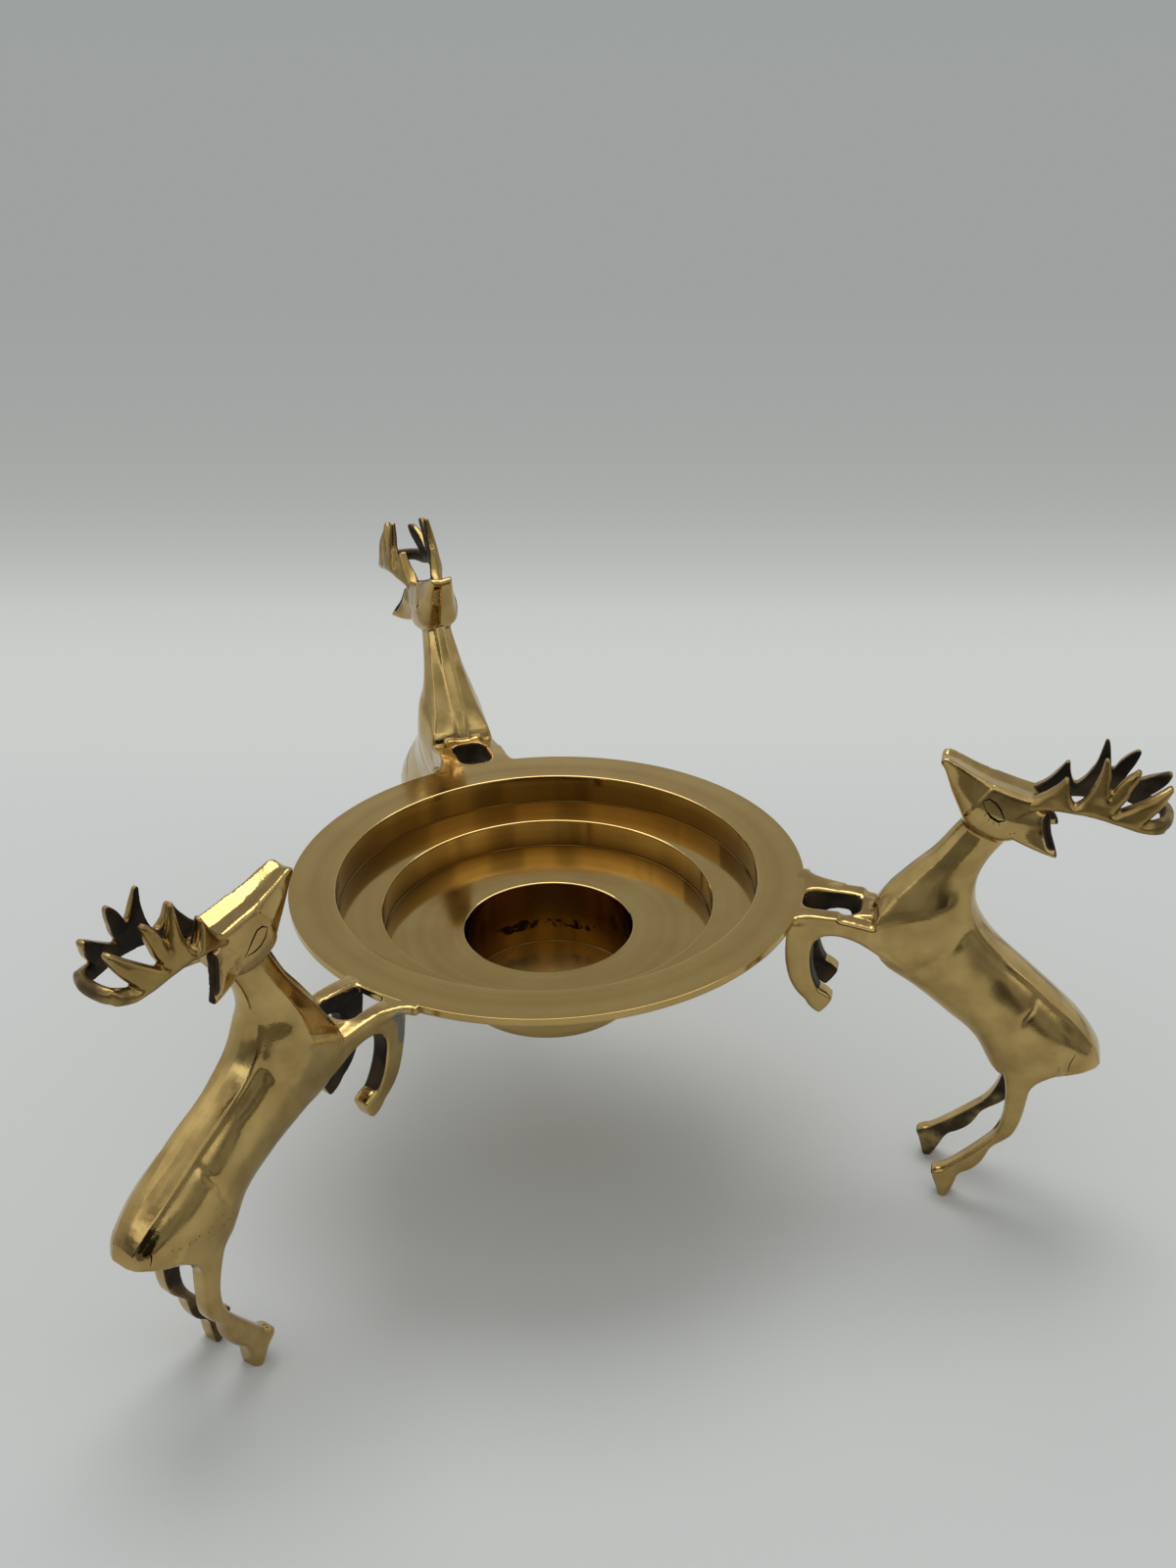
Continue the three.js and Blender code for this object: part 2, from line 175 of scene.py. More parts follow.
def smoothOver(bm, verts, turns):
    for turn in range(turns):
        bmesh.ops.smooth_vert(bm, verts=verts, factor=0.5, use_axis_x=True, use_axis_y=True, use_axis_z=True)


# Camera, where the photographer stood: millimetres from the rim's middle, and degrees

camera = {
    "at": (10.39, -438.39, 256.33), "down": 27.954, "roll": -1.627,
    "lens": 49.5, "sensor": 36, "clip": (0.01, 20),
}


def makeCamera():
    data = bpy.data.cameras.new("camera")
    data.lens = camera["lens"]
    data.sensor_width = camera["sensor"]
    data.clip_start, data.clip_end = camera["clip"]
    obj = linked("camera", data)
    look = Matrix.Rotation(math.radians(90 - camera["down"]), 4, "X")
    roll = Matrix.Rotation(math.radians(camera["roll"]), 4, "Z")
    place = dishPlace @ Matrix.Translation(camera["at"]) @ look @ roll
    obj.location = place.translation
    obj.rotation_euler = place.to_3x3().normalized().to_euler()
    bpy.context.scene.camera = obj


# Stage: pale paper, which behind the holder glows in grey tones with the shade where it rises painted in

stage = {
    "size": 8.0, "roughness": 0.9, "specular": 0.15,
    "floor": "#CBCDCB", "table": "#85827A",
    "frontEdge": (-0.42, -0.39),      # the paper ends here, and in front of it the brass mirrors the table
    "behind": (0.16, 0.26),           # from here on the paper shows the tones below
    # Distance behind the holder and the paper's glowing tone there, with the shade where it rises painted in
    "tones": [(0.24, "#CBCECB"), (0.315, "#CACDC9"), (0.355, "#C5C8C4"), (0.40, "#BABCB9"),
              (0.45, "#B0B2AF"), (0.50, "#A9ABA9"), (0.58, "#A5A7A5"), (0.66, "#A2A5A3"),
              (0.88, "#9FA1A0"), (2.2, "#9DA1A0")],
}


def makeStage():
    bm = bmesh.new()
    bmesh.ops.create_grid(bm, x_segments=8, y_segments=8, size=stage["size"] / 2)
    bmesh.ops.translate(bm, verts=bm.verts, vec=(0, 0, ground))
    floor = meshObject("studio_floor", bm)
    # Matte paper: even and soft, with next to no highlight
    material, tree, shader = newMaterial("matte backdrop paper")
    place = addNode(tree, "TexCoord").outputs["Object"]
    along = addNode(tree, "SeparateXYZ", [place]).outputs["Y"]
    seenBy = addNode(tree, "LightPath").outputs
    front = addNode(tree, "MapRange", [along, *stage["frontEdge"], 1.0, 0.0], **eased)
    mirrored = addNode(tree, "Math", [front, seenBy["Is Glossy Ray"]], operation="MULTIPLY")
    sheet = addNode(tree, "Mix", {"Factor": mirrored, "A": linear(stage["floor"]), "B": linear(stage["table"])},
                    data_type="RGBA")
    setInputs(tree, shader, {"Base Color": sheet, "Roughness": stage["roughness"],
                             "Specular IOR Level": stage["specular"]})
    # Behind the holder the camera and the brass see the paper glow in the tones above, its light and shade
    # painted in, without the lamps' falling off
    first, last = stage["tones"][0][0], stage["tones"][-1][0]
    ramp = addNode(tree, "ValToRGB", [addNode(tree, "MapRange", [along, first, last])])
    fillRamp(ramp.color_ramp, [((at - first) / (last - first), linear(tone)) for at, tone in stage["tones"]])
    paper = addNode(tree, "Emission", [ramp])
    seen = addNode(tree, "Math", [seenBy["Is Camera Ray"], seenBy["Is Glossy Ray"]], operation="MAXIMUM")
    behind = addNode(tree, "MapRange", [along, *stage["behind"]], **eased)
    share = addNode(tree, "Math", [seen, behind], operation="MULTIPLY")
    setInputs(tree, tree.nodes["Material Output"], [addNode(tree, "MixShader", [share, shader, paper])])
    floor.data.materials.append(material)


lights = {
    "back softbox": {"at": (-0.05, 0.68, 1.54), "size": 1.1, "watts": 11.2},
    "left softbox": {"at": (-1.1, 0.2, 1.1), "size": 0.8, "watts": 1.0},
}


def makeLights():
    for name, light in lights.items():
        data = bpy.data.lights.new(name, "AREA")
        data.shape = "SQUARE"
        data.size = light["size"]
        data.energy = light["watts"]
        obj = linked(name, data)
        obj.location = light["at"]
        obj.rotation_euler = (-Vector(light["at"])).to_track_quat("-Z", "Y").to_euler()


# How bright the room is along each ray: on the camera's side, shares of the windows' brightness by the
# ray's rise, with a band of windows above the camera; low and high behind; and overhead besides.
# Each edge is the stretch in which one passes into the next
room = {
    "tint": "#F4F6F6", "windows": 1.15,
    "front": [(0.0, 0.24), (0.31, 0.24), (0.38, 0.36), (0.47, 1.0), (0.55, 1.0), (0.67, 0.46)],
    "sideEdge": (-0.4, 0.3),
    "behind": (0.64, 0.42), "behindEdge": (0.45, 0.52),
    "ceiling": 0.3, "ceilingEdge": (0.6, 0.95),
    # Furniture and windows make the camera's side uneven
    "clutter": (0.72, 1.22), "clutterEdge": (0.44, 0.56), "clutterScale": 2.6, "clutterDetail": 1.5,
    # Someone in dark clothes sits behind the camera
    "person": 0.07, "personEdge": (0.958, 0.976), "personAt": (0.05, -0.99, 0.1),
}


def makeRoom():
    world = bpy.data.worlds.new("studio")
    bpy.context.scene.world = world
    world.use_nodes = True
    tree = world.node_tree
    tree.nodes.clear()
    ray = addNode(tree, "TexCoord").outputs["Generated"]
    axes = addNode(tree, "SeparateXYZ", [ray]).outputs
    front = addNode(tree, "ValToRGB", [axes["Z"]])
    fillRamp(front.color_ramp, [(rise, (share, share, share, 1)) for rise, share in room["front"]])
    clutter = addNode(tree, "TexNoise", {"Vector": ray, "Scale": room["clutterScale"],
                                         "Detail": room["clutterDetail"]})
    windows = [share * room["windows"] for share in room["clutter"]]
    uneven = addNode(tree, "MapRange", [clutter, *room["clutterEdge"], *windows], **eased)
    forward = addNode(tree, "Math", [front, uneven], operation="MULTIPLY")
    behind = addNode(tree, "MapRange", [axes["Z"], *room["behindEdge"], *room["behind"]], **eased)
    side = addNode(tree, "MapRange", [axes["Y"], *room["sideEdge"]], **eased)
    around = addNode(tree, "Mix", {"Factor": side, "A": forward, "B": behind})
    ceiling = addNode(tree, "MapRange", [axes["Z"], *room["ceilingEdge"], 0.0, room["ceiling"]], **eased)
    light = addNode(tree, "Math", [around, ceiling], operation="ADD")
    towards = addNode(tree, "VectorMath", [ray, Vector(room["personAt"]).normalized()], operation="DOT_PRODUCT")
    person = addNode(tree, "MapRange", [towards, *room["personEdge"], 1.0, room["person"]], **eased)
    shaded = addNode(tree, "Math", [light, person], operation="MULTIPLY")
    lit = addNode(tree, "Background", [linear(room["tint"]), shaded])
    # The camera sees the far paper's grey glow, its shade painted in, behind everything
    plain = addNode(tree, "Background", [linear(stage["tones"][-1][1]), 1.0])
    seen = addNode(tree, "LightPath").outputs["Is Camera Ray"]
    addNode(tree, "OutputWorld", [addNode(tree, "MixShader", [seen, lit, plain])])
    bpy.context.scene.view_settings.view_transform = "Standard"


# Dish: radius and height of each corner, from the well's middle out over the rim and back below

dish = {
    # Walls open a little towards the top, as they left the mould
    "inside": [(0, -30.8), (19.7, -30.8), (20, -14.2), (38.75, -14.2), (39, -7.2), (49.25, -7.2), (49.5, 0.0)],
    "edge": [(60.5, 0.0), (60.5, -2.0)],
    "below": [(51.5, -2.0), (51.5, -9.2), (41, -9.2), (41, -16.2), (22, -16.2), (22, -32.8), (0, -32.8)],
    # Radius and steps of each rounding
    "floorCorner": (0.3, 3), "lip": (0.35, 3), "rimTop": (0.12, 3), "rimUnder": (0.5, 3),
    "underRound": (3.0, 8),
    "turns": 288, "sharpFrom": 13,
}


def makeDish():
    bm = bmesh.new()
    corners = dish["inside"] + dish["edge"] + dish["below"]
    verts = [bmesh.ops.create_vert(bm, co=(radius, 0, z))["vert"][0] for radius, z in corners]
    for a, b in zip(verts, verts[1:]):
        bmesh.ops.contextual_create(bm, geom=[a, b])
    rounding = [(verts[1:6:2], "floorCorner"), (verts[2:7:2], "lip"), (verts[7:8], "rimTop"),
                (verts[8:9], "rimUnder"), (verts[10:15:2], "underRound")]
    for own, corner in rounding:
        radius, steps = dish[corner]
        bmesh.ops.bevel(bm, geom=own, offset=radius, offset_type="OFFSET", affect="VERTICES", segments=steps,
                        profile=0.5, material=-1)
    bmesh.ops.spin(bm, geom=bm.verts[:] + bm.edges[:], cent=(0, 0, 0), axis=(0, 0, 1), angle=2 * math.pi,
                   steps=dish["turns"], use_merge=True)
    bmesh.ops.remove_doubles(bm, verts=bm.verts, dist=0.002)
    bmesh.ops.recalc_face_normals(bm, faces=bm.faces)
    for face in bm.faces:
        face.smooth = True
    bmesh.ops.transform(bm, matrix=dishPlace, verts=bm.verts)
    obj = meshObject("turned_dish", bm)
    obj.data.set_sharp_from_angle(angle=math.radians(dish["sharpFrom"]))
    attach(obj, "root")
    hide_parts("dish")
    return obj


# Shapes that the castings are made from

def slabFrom(points, depth):
    bm = bmesh.new()
    verts = [bmesh.ops.create_vert(bm, co=p)["vert"][0] for p in points]
    pairs = zip(verts, verts[1:] + verts[:1])
    sides = [bmesh.ops.contextual_create(bm, geom=pair)["edges"][0] for pair in pairs]
    face = bmesh.ops.contextual_create(bm, geom=sides)["faces"][0]
    made = bmesh.ops.extrude_face_region(bm, geom=[face])["geom"]
    far = [v for v in made if isinstance(v, bmesh.types.BMVert)]
    bmesh.ops.translate(bm, verts=far, vec=depth)
    bmesh.ops.recalc_face_normals(bm, faces=bm.faces)
    return bm


def ringEdges(verts):
    own = set(verts)
    return list({e for v in verts for e in v.link_edges if e.other_vert(v) in own})


def loft(bm, rings):
    circles = []
    for ring in rings:
        verts = bmesh.ops.create_circle(bm, segments=len(ring), radius=1)["verts"]
        for vert, place in zip(verts, ring):
            vert.co = place
        circles.append(ringEdges(verts))
    for a, b in zip(circles, circles[1:]):
        bmesh.ops.bridge_loops(bm, edges=a + b)
    for ends in (circles[0], circles[-1]):
        bmesh.ops.contextual_create(bm, geom=ends)
    bmesh.ops.recalc_face_normals(bm, faces=bm.faces)


def smoothThrough(stations, steps):
    rows = []
    last = len(stations) - 1
    for i in range(last):
        near = [stations[max(0, min(last, i + k))] for k in (-1, 0, 1, 2)]
        for s in range(steps):
            t = s / steps
            rows.append([0.5 * (2 * b + (c - a) * t + (2 * a - 5 * b + 4 * c - d) * t * t
                                + (3 * b - a - 3 * c + d) * t ** 3) for a, b, c, d in zip(*near)])
    return rows + [list(stations[-1])]


# A side view's outline: each step is a corner, or a curve of two or three points that ends at the last
def sideView(shape):
    points, count = [Vector(shape["start"])], 8
    for step in shape["steps"]:
        here, ends = points[-1], [Vector(p) for p in step]
        if len(ends) == 1:
            points.append(ends[0])
            continue
        for k in range(1, count + 1):
            t = k / count
            if len(ends) == 2:
                points.append(here * (1 - t) ** 2 + ends[0] * 2 * t * (1 - t) + ends[1] * t * t)
            else:
                points.append(here * (1 - t) ** 3 + ends[0] * 3 * t * (1 - t) ** 2
                              + ends[1] * 3 * t * t * (1 - t) + ends[2] * t ** 3)
    return [Vector((p.x, 0, p.y - knee)) for p in points]


# A casting's flat limb: its side view made thick, with the faces' edges rounded off

def limb(shape):
    points, inner, outer = sideView(shape), shape["inner"], shape["outer"]
    bm = fused(slabFrom([p + Vector((0, inner, 0)) for p in points], (0, outer - inner, 0)), shape["voxel"])
    # The outline's walls, reaching far past the limb on both sides
    rim = [p + Vector((0, y, 0)) for p in points for y in (-99, 99)]
    count = len(rim)
    sides = [(i, i + 1, (i + 3) % count, (i + 2) % count) for i in range(0, count, 2)]
    walls = BVHTree.FromPolygons(rim, sides)
    middle, half = (inner + outer) / 2, (outer - inner) / 2
    for v in bm.verts:
        depth = walls.find_nearest(Vector((v.co.x, 0, v.co.z)))[3]
        radius = shape["roundOuter" if v.co.y > middle else "roundInner"]
        into = min(depth, radius)
        reach = half - radius + math.sqrt(radius ** 2 - (radius - into) ** 2)
        v.co.y = middle + (v.co.y - middle) / half * reach
    return bm


def addMesh(bm, other, mirror=False):
    mesh = bpy.data.meshes.new("part")
    if mirror:
        other = other.copy()
        bmesh.ops.scale(other, verts=other.verts, vec=(1, -1, 1))
        bmesh.ops.reverse_faces(other, faces=other.faces)
    other.to_mesh(mesh)
    bm.from_mesh(mesh)
    bpy.data.meshes.remove(mesh)


# Trunk and neck from rump to nape: back x and z, belly x and z, half width, share of it
# that the flat band along the back takes, squareness of the belly, front ridge's share

trunk = {
    "stations": [
        (69.9, 38.3, 68.6, 37.0, 3.2, 0.70, 3.0, 0.3),
        (68.8, 43.2, 62.8, 35.2, 6.2, 0.50, 4.5, 0.3),
        (64.6, 49.4, 54.0, 34.4, 8.1, 0.46, 5.0, 0.3),
        (59.4, 54.9, 46.4, 35.8, 8.8, 0.46, 4.4, 0.3),
        (52.9, 60.8, 40.6, 44.0, 8.4, 0.48, 2.7, 0.3),
        (46.3, 66.6, 33.6, 49.9, 8.1, 0.50, 2.5, 0.3),
        (41.7, 71.9, 25.6, 56.9, 8.4, 0.50, 3.0, 0.3),
        (39.5, 76.6, 18.4, 63.2, 8.8, 0.46, 4.4, 0.3),
        (38.9, 81.0, 15.4, 71.6, 8.4, 0.42, 4.2, 0.20),
        (39.3, 84.6, 18.2, 79.0, 6.8, 0.38, 3.3, 0.22),
        (40.6, 88.2, 23.6, 85.2, 5.6, 0.38, 2.6, 0.25),
        (42.4, 91.4, 28.8, 90.6, 4.7, 0.40, 2.6, 0.29),
        (45.4, 95.6, 33.2, 96.6, 3.9, 0.44, 2.6, 0.32),
        (47.4, 99.0, 36.5, 101.0, 3.5, 0.44, 2.6, 0.34),
    ],
    "bandDrop": 0.06, "ridge": 0.08, "underside": 36.5, "angles": range(34, 163, 4),
    # The neck's two flats between its flanks and its ridge: outer corner up the neck and at the chest
    "neckFrom": 66, "neckCorner": (0.62, 0.86), "chestCorner": (0.85, 0.99), "flatEnd": (0.95, 0.2),
    "neckSquare": (2.6, 4.2),
}


def neckFlat(c, s, square):
    low = ease(square, *trunk["neckSquare"])
    depth, width = [up + (down - up) * low for up, down in zip(trunk["neckCorner"], trunk["chestCorner"])]
    endDepth, endWidth = trunk["flatEnd"]
    flank = (1 - width) / depth
    slope = (width - endWidth) / (endDepth - depth)
    return min(1 / (s - flank * c), (width + slope * depth) / (s - slope * c))


def trunkRing(station):
    backX, backZ, bellyX, bellyZ, half, band, square, front = station
    centre = Vector(((backX + bellyX) / 2, 0, (backZ + bellyZ) / 2 - knee))
    reach = Vector((backX, 0, backZ - knee)) - centre
    side = [(1, 0), (1 - trunk["bandDrop"] * 0.3, band * 0.5), (1 - trunk["bandDrop"], band)]
    neck = 1 if bellyZ > trunk["neckFrom"] else 0
    for degrees in trunk["angles"]:
        c, s = math.cos(math.radians(degrees)), math.sin(math.radians(degrees))
        power = 2.0 if c > 0 else square
        size = (abs(c) ** power + s ** power) ** (-1 / power)
        if c < 0:
            size += (neckFlat(c, s, square) - size) * neck
        side.append((c * size, s * size))
    side += [(trunk["ridge"] * neck - 1, front * 1.15), (-1, front * 0.9)]
    shares = side + [(-1, 0)] + [(d, -w) for d, w in reversed(side[1:])]
    return [centre + reach * depth + Vector((0, half * width, 0)) for depth, width in shares]


# Head from muzzle to nape: ridge x, z and half width, jaw x, z and half width, cheek half width

head = {
    "stations": [
        (29.7, 113.9, 1.9, 29.7, 113.4, 1.8, 1.9),
        (29.9, 114.3, 2.5, 29.8, 112.9, 2.3, 2.6),
        (30.6, 114.7, 2.8, 30.4, 112.2, 2.5, 2.9),
        (31.4, 114.6, 2.9, 31.0, 110.7, 2.5, 3.1),
        (33.0, 113.9, 3.1, 32.2, 106.9, 2.7, 3.6),
        (36.6, 112.0, 3.3, 33.7, 103.2, 3.1, 4.4),
        (39.4, 110.7, 3.5, 34.8, 100.4, 3.5, 5.1),
        (41.0, 109.9, 3.7, 35.8, 98.4, 3.7, 5.7),
        (45.0, 108.6, 3.9, 39.2, 96.2, 3.6, 6.0),
        (48.6, 107.4, 4.1, 43.2, 95.0, 3.4, 5.9),
        (51.9, 106.6, 4.2, 47.6, 96.2, 3.2, 5.4),
    ],
    "dip": 0.5, "chin": 0.5,     # the forehead's hollow between its ridges, and the fullness below as a share
    "cheekLine": [(41.4, 109.8), (38.3, 106.2), (35.2, 101.8)], "cheekStep": 0.16, "cheekFade": 3.5,
}


def headRing(station):
    ridgeX, ridgeZ, ridge, jawX, jawZ, jaw, cheek = station
    top, low = Vector((ridgeX, 0, ridgeZ - knee)), Vector((jawX, 0, jawZ - knee))
    inward = (low - top).normalized() * head["dip"]
    half = [(0.0, ridge), (0.07, ridge + (cheek - ridge) * 0.3), (0.45, cheek * 0.97), (0.62, cheek),
            (0.8, cheek * 0.94), (0.9, (cheek + jaw) / 2 * 0.98), (0.96, jaw * 0.92), (1.0, jaw * 0.5)]
    side = [top.lerp(low, d) + Vector((0, w, 0)) for d, w in half]
    other = [Vector((p.x, -p.y, p.z)) for p in reversed(side)]
    return [top + inward] + side + [low + inward * head["chin"]] + other


# Side views of the ears and the legs: x out from the rim's edge, and height above the soles

ear = {
    "inner": 3.2, "outer": 5.7, "roundInner": 0.3, "roundOuter": 0.8, "voxel": 0.34,
    "start": (43.5, 98.4),
    "steps": [[(48.6, 95.9), (55.6, 95.3)], [(56.0, 95.4)], [(55.3, 97.6)], [(54.4, 99.8)],
              [(54.0, 101.6), (53.9, 103.6)], [(51.0, 105.2)], [(44.5, 105.0)]],
    # It splays out behind its root, less at its top, where it is also thinner
    "root": 46.0, "splayLow": 0.35, "splayHigh": 0.08, "splayRange": (95.5, 102.5),
    "thinTop": 1.3, "thinRange": (101.5, 105.5),
    "cup": [(53.6, 102.8), (53.8, 100.6), (54.6, 98.3)], "cupDepth": 0.9, "cupReach": 1.25,
}

foreleg = {
    "inner": 4.2, "outer": 8.4, "roundInner": 0.35, "roundOuter": 0.8, "voxel": 0.34,
    "start": (25.0, 70.6),
    "steps": [[(12, 74.9), (2, 75.0)], [(-1.0, 75.0)], [(-2.3, 73.4), (-2.7, 71.0)],
              [(-3.5, 62), (-2.6, 55.6), (1.9, 52.2)], [(2.7, 50.0), (5.4, 48.7)], [(7.2, 50.4), (8.4, 53.0)],
              [(6.9, 54.9), (5.2, 55.3)], [(3.0, 58.6), (2.6, 65.6), (4.0, 68.2)],
              [(6.4, 71.2), (12, 70.2), (18.0, 66.0)], [(25.0, 62.0)]],
}

# Metal that carries the knees level into the rim, with the slot between them rounded at both ends
tab = {
    "reach": 9.0, "into": -3.0, "thick": 2.0, "sunk": 0.02, "start": 0.3, "past": -0.2, "shy": 0.1,
    "drop": 0.7, "dropRange": (5, 15),
    "chest": 10.6, "chestRound": 2.8, "chestEnd": 19.0, "chestLow": -7.0, "chestTall": 6.1, "chestInto": 0.3,
}

hindLeg = {
    "inner": 4.2, "outer": 8.4, "roundInner": 0.35, "roundOuter": 1.2, "voxel": 0.34, "seat": 36.4,
    "start": (44.6, 44.0),
    "steps": [[(47.6, 38), (48.4, 36.0)], [(49.6, 30), (49.3, 23), (46.6, 18.8)],
              [(43.4, 14.6), (38, 9.8), (35.6, 8.0)], [(33.9, 7.5)], [(32.9, 6.7)], [(35.6, -1.0)],
              [(36.9, -1.0)], [(38.2, 1.8), (39.0, 4.6)], [(39.2, 6.2), (40.3, 7.2)],
              [(44.2, 8.8), (45.2, 11.6), (46.3, 14.8)], [(47.6, 17.2), (50.6, 18.0), (51.7, 20.4)],
              [(53.4, 24), (53.8, 29), (54.4, 32.2)], [(55.4, 35.6), (58.8, 36.6), (62.0, 38.6)],
              [(60.0, 45.0)]],
    "hoofTop": 6.5, "hoofWide": 3.0, "hoofFlare": 0.10,
    "pastern": 8.7, "pasternReach": 1.8, "pasternPinch": 0.10,
    "fullRange": (26, 10), "fullBack": 1.5, "fullFront": 0.8, "fullSide": 0.3,     # of a shin left full
}


def makeLimbs():
    lobe, front, hind = limb(ear), limb(foreleg), limb(hindLeg)
    for v in lobe.verts:
        z = v.co.z + knee
        splay = ear["splayLow"] + (ear["splayHigh"] - ear["splayLow"]) * ease(z, *ear["splayRange"])
        v.co.y += max(0, v.co.x - ear["root"]) * splay
        v.co.y -= ear["thinTop"] * ease(z, *ear["thinRange"])
    middle = (hindLeg["inner"] + hindLeg["outer"]) / 2
    for v in hind.verts:
        z = v.co.z + knee
        flare = hindLeg["hoofFlare"] * ease(z, hindLeg["hoofTop"], hindLeg["hoofWide"])
        pinch = hindLeg["pasternPinch"] * math.exp(-((z - hindLeg["pastern"]) / hindLeg["pasternReach"]) ** 2)
        v.co.y = middle + (v.co.y - middle) * (1 + flare - pinch)
    return lobe, front, hind


quarter = [math.radians(d) for d in range(0, 91, 15)]


def kneeTab(side, slotRound, flare):
    inner, outer, start = foreleg["inner"], foreleg["outer"] - tab["shy"], tab["start"]
    width, run = flare
    far = max(run, tab["reach"])
    plan = [(tab["into"], tab["past"]), (start, tab["past"])]
    plan += [(start + slotRound * (1 - math.cos(a)), inner - slotRound * (1 - math.sin(a))) for a in quarter]
    plan += [(far, inner), (far, outer)]
    plan += [(run * (1 - math.sin(a)), outer + width * (1 - math.cos(a))) for a in quarter[1:]]
    plan += [(tab["into"], outer + width)]
    depth = tab["thick"]
    slab = slabFrom([Vector((x, side * y, -depth)) for x, y in plan], (0, 0, depth - tab["sunk"]))
    for v in slab.verts:
        v.co.z -= ease(v.co.x, *tab["dropRange"]) * tab["drop"]
    return slab


def chestFillet(side):
    inner, radius, start, end = foreleg["inner"], tab["chestRound"], tab["chest"], tab["chestEnd"]
    plan = [(start, inner + tab["chestInto"])]
    plan += [(start + radius * math.sin(a), inner - radius * (1 - math.cos(a))) for a in quarter]
    plan += [(start + radius, tab["past"]), (end, tab["past"]), (end, inner + tab["chestInto"])]
    return slabFrom([Vector((x, side * y, tab["chestLow"])) for x, y in plan], (0, 0, tab["chestTall"]))


# Casting's hollows and swellings: side view points, depth (a swelling below zero) and reach

reliefs = [
    # Fold before the haunch
    {"line": [(54.2, 56.6), (53.5, 54.6), (51.8, 52.6), (50.8, 50.0), (48.8, 47.4)], "depth": 0.34,
     "reach": 0.8, "taper": 8.0},
    {"line": [(57.4, 47.0), (61.0, 45.0)], "depth": -0.3, "reach": 6.5},  # haunch
    {"line": [(26.0, 62.0), (32.5, 66.9), (37.6, 72.7)], "depth": 0.28, "reach": 1.3},  # behind the shoulder
    {"line": [(29.0, 72.0), (33.0, 78.0)], "depth": -0.35, "reach": 5.0},  # shoulder
    {"line": [(44.0, 60.0), (38.0, 56.0)], "depth": 0.35, "reach": 4.0},  # waist
]


def lineDistance(x, z, line):
    best, beyond = 1e9, 0
    for (ax, az), (bx, bz) in zip(line, line[1:]):
        dx, dz = bx - ax, bz - az
        t = min(1, max(0, ((x - ax) * dx + (z - az) * dz) / (dx * dx + dz * dz)))
        away = math.hypot(x - ax - t * dx, z - az - t * dz)
        if away < best:
            best, beyond = away, dx * (z - az) - dz * (x - ax)
    return best, beyond > 0


# The figure as one casting: filed over evenly and fuller in the corners round the slot, with its
# rump flat underneath and the slight waves that hand buffing leaves
casting = {
    "voxel": 0.32, "filing": 3, "slotFiling": 6, "slotX": (9, 22), "slotZ": (-7, 6), "sharpFrom": 50,
    "rump": (55, 0), "rumpSlope": (0.12, 0, -1), "facing": (0.25, 0.7), "headFrom": 94,
    "waveLength": 7.0, "wave": 0.09,
}


def figureShape(stag, limbs):
    lobe, front, hind = limbs
    bm = bmesh.new()
    loft(bm, [trunkRing(row) for row in smoothThrough(trunk["stations"], 4)])
    # The rump is flat underneath, between and behind the legs
    cutOff(bm, (*casting["rump"], trunk["underside"] - knee), casting["rumpSlope"])
    skull = bmesh.new()
    loft(skull, [headRing(row) for row in smoothThrough(head["stations"], 2)])
    addMesh(bm, skull)
    skull.free()
    for part in (lobe, front):
        addMesh(bm, part)
        addMesh(bm, part, mirror=True)
    for side, flare in ((1, stag["rightFlare"]), (-1, stag["leftFlare"])):
        slab = kneeTab(side, stag["slotRound"], flare)
        bmesh.ops.transform(slab, matrix=stagTilt(stag).inverted(), verts=slab.verts)
        for extra in (slab, chestFillet(side)):
            addMesh(bm, extra)
            extra.free()
    addMesh(bm, hind, mirror=True)
    right = hind.copy()
    right.normal_update()
    for v in right.verts:
        z, out = v.co.z + knee, v.normal
        down = max(0, (hindLeg["seat"] - z) / hindLeg["seat"])
        v.co.x -= down * stag["step"]
        v.co.y += down * stag["stride"]
        full = stag["fullShin"] * ease(z, *hindLeg["fullRange"]) * (0.3 + 0.7 * ease(z, 4, 7))
        sideways = min(0, out.x) * hindLeg["fullBack"] + max(0, out.x) * hindLeg["fullFront"]
        v.co += Vector((sideways, out.y * hindLeg["fullSide"], max(0, out.z))) * full
    addMesh(bm, right)
    right.free()

    bm = fused(bm, casting["voxel"])
    (backX, frontX), (lowZ, highZ) = casting["slotX"], casting["slotZ"]
    slot = [v for v in bm.verts if backX < v.co.x < frontX and lowZ < v.co.z < highZ]
    smoothOver(bm, bm.verts, casting["filing"])
    smoothOver(bm, slot, casting["slotFiling"])
    bm.normal_update()
    moves = []
    for v in bm.verts:
        x, z = v.co.x, v.co.z + knee
        facing = ease(abs(v.normal.y), *casting["facing"])
        depth = 0
        if facing and z > hindLeg["seat"]:
            for relief in reliefs:
                away = lineDistance(x, z, relief["line"])[0]
                if away < relief["reach"] * 2.6:
                    middle = relief["line"][len(relief["line"]) // 2]
                    ends = ease(math.hypot(x - middle[0], z - middle[1]), 0, relief.get("taper", 99))
                    depth += relief["depth"] * (1 - ends) * math.exp(-(away / relief["reach"]) ** 2)
            if z > casting["headFrom"]:
                away, behind = lineDistance(x, z, head["cheekLine"])
                if behind:
                    depth -= head["cheekStep"] * ease(away, 0, 0.3) * (1 - ease(away, 0.3, head["cheekFade"]))
                away = lineDistance(x, z, ear["cup"])[0]
                depth += ear["cupDepth"] * math.exp(-(away / ear["cupReach"]) ** 2)
        wave = noise.noise(v.co / casting["waveLength"]) * casting["wave"]
        moves.append(v.normal * (wave - depth * facing))
    for v, move in zip(bm.verts, moves):
        v.co += move
    return bm


# Marks cut into each casting after polishing: width, and side view points; then its small pits

